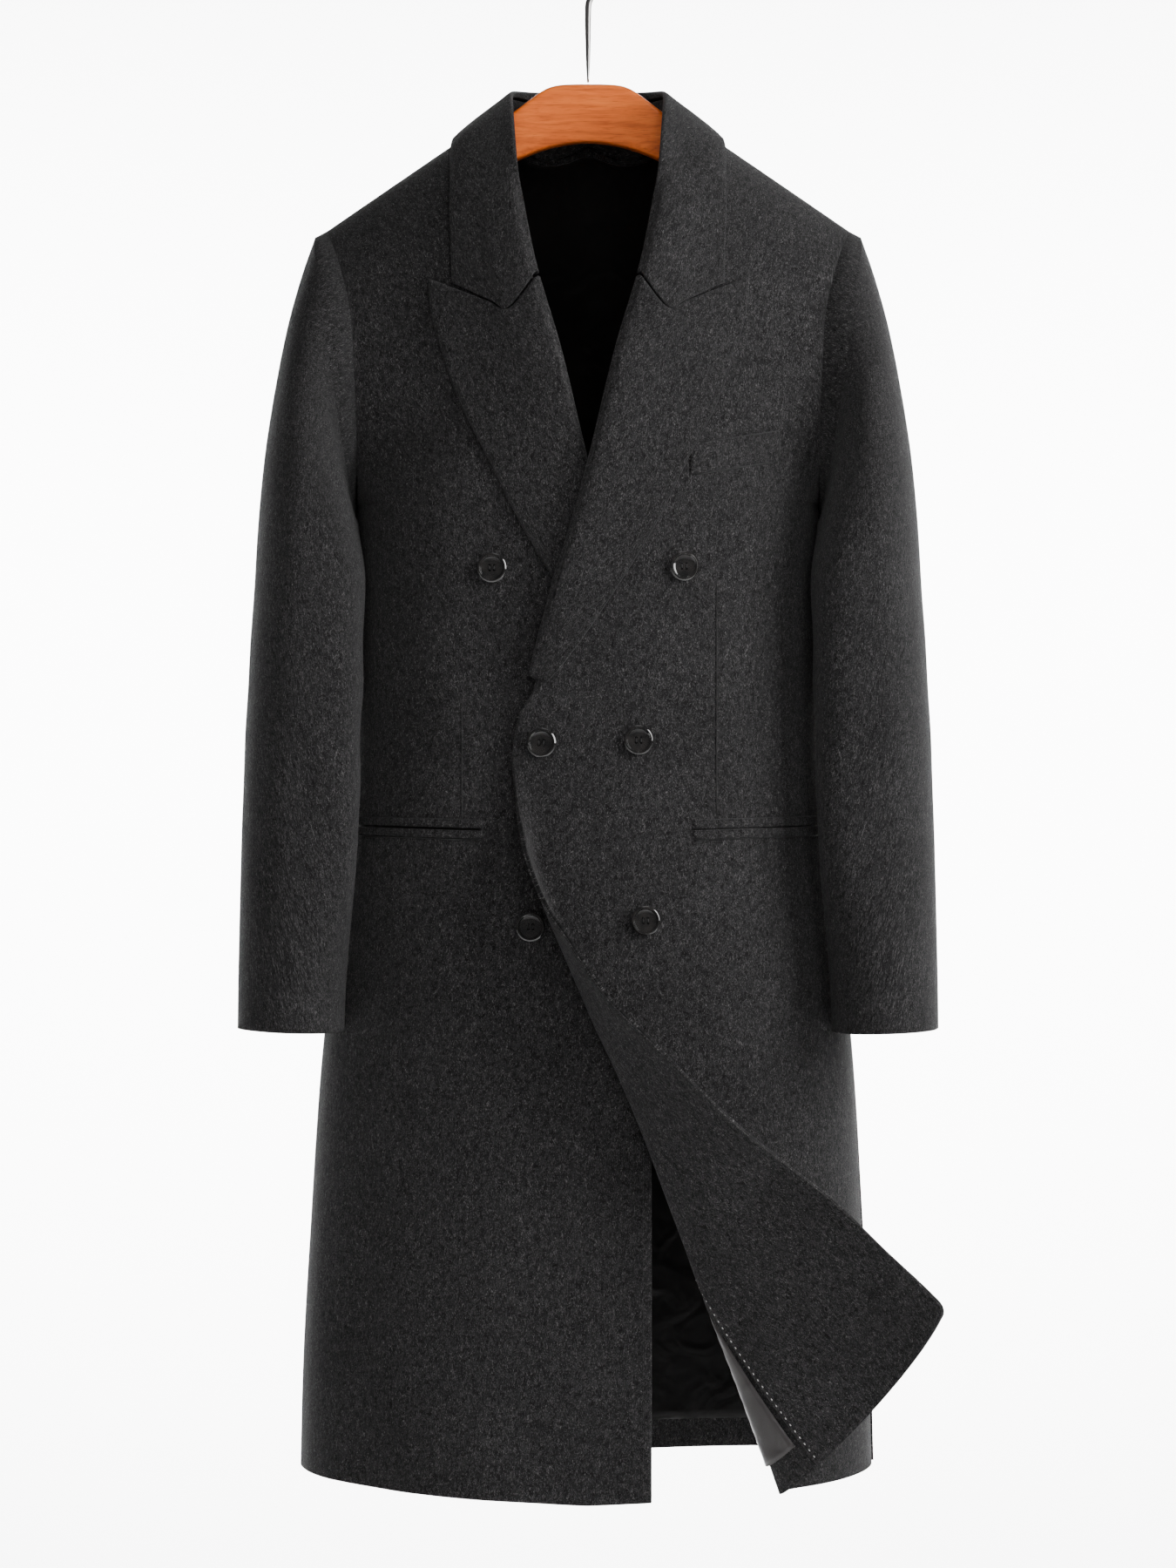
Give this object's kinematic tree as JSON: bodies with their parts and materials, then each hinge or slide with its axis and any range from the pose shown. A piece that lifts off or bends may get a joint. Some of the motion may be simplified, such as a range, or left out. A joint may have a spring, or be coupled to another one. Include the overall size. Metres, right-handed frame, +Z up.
{
  "type": "overcoat on a hanger",
  "caption": "Knee-length double-breasted wool overcoat with peak lapels and jetted hip pockets, hanging filled out on a shaped wooden hanger with a steel hook.",
  "frame": {"origin": "the point on the inside of the hook's bend that rests on a rail", "axes": "+Z up along the hook's rod, -Y out of the coat's front, +X towards the wearer's left"},
  "size_m": [0.564, 0.3726, 1.2867],
  "materials": {
    "wool": "charcoal melange wool coating with a short nap",
    "lining": "dark grey satin lining",
    "button": "polished near-black, raised rim, four holes",
    "hanger_wood": "orange-brown satin varnish",
    "hook_steel": "plain grey steel wire"
  },
  "bodies": {
    "root": {"right_front": "wool", "left_front": "wool", "back": "wool", "left_front_facing": "wool", "left_front_lining": "lining", "back_lining": "lining", "right_sleeve": "wool", "left_sleeve": "wool", "right_lapel": "wool", "left_lapel": "wool", "collar_fall": "wool", "collar_stand": "wool", "right_pocket_upper_jet": "wool", "right_pocket_lower_jet": "wool", "left_pocket_upper_jet": "wool", "left_pocket_lower_jet": "wool", "breast_pocket_welt": "wool", "button_right_top": "button", "button_left_top": "button", "button_left_edge": "button", "button_left_middle": "button", "button_right_low": "button", "button_left_low": "button", "hanger": "hanger_wood", "hanger_hook": "hook_steel"}
  },
  "joints": []
}
